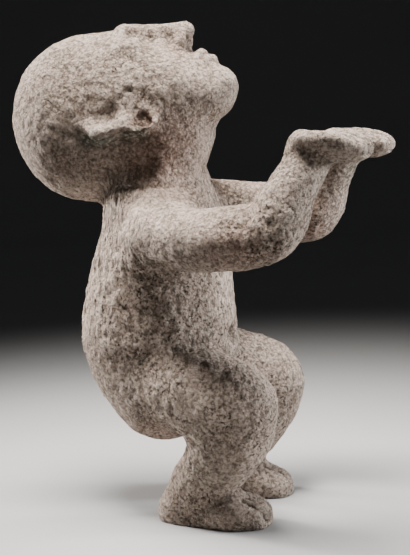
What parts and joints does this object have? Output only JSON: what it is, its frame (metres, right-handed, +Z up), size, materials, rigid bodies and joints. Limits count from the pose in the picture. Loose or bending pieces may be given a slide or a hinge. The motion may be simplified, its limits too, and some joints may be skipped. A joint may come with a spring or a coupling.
{
  "type": "stone figurine",
  "caption": "Crouching human figurine carved from a single stone, head thrown back, arms reaching forward with palms up, standing on bare feet.",
  "frame": {"origin": "on the ground under the middle of the figurine's bounding box", "axes": "+Z up, from the soles to the face; the arms reach towards -Y; the figurine's own left is +X"},
  "size_m": [0.1224, 0.1806, 0.2341],
  "materials": {
    "stone": "rough, weathered and pitted volcanic stone, matte, with traces of red pigment"
  },
  "bodies": {
    "root": {"figure": "stone"}
  },
  "joints": []
}
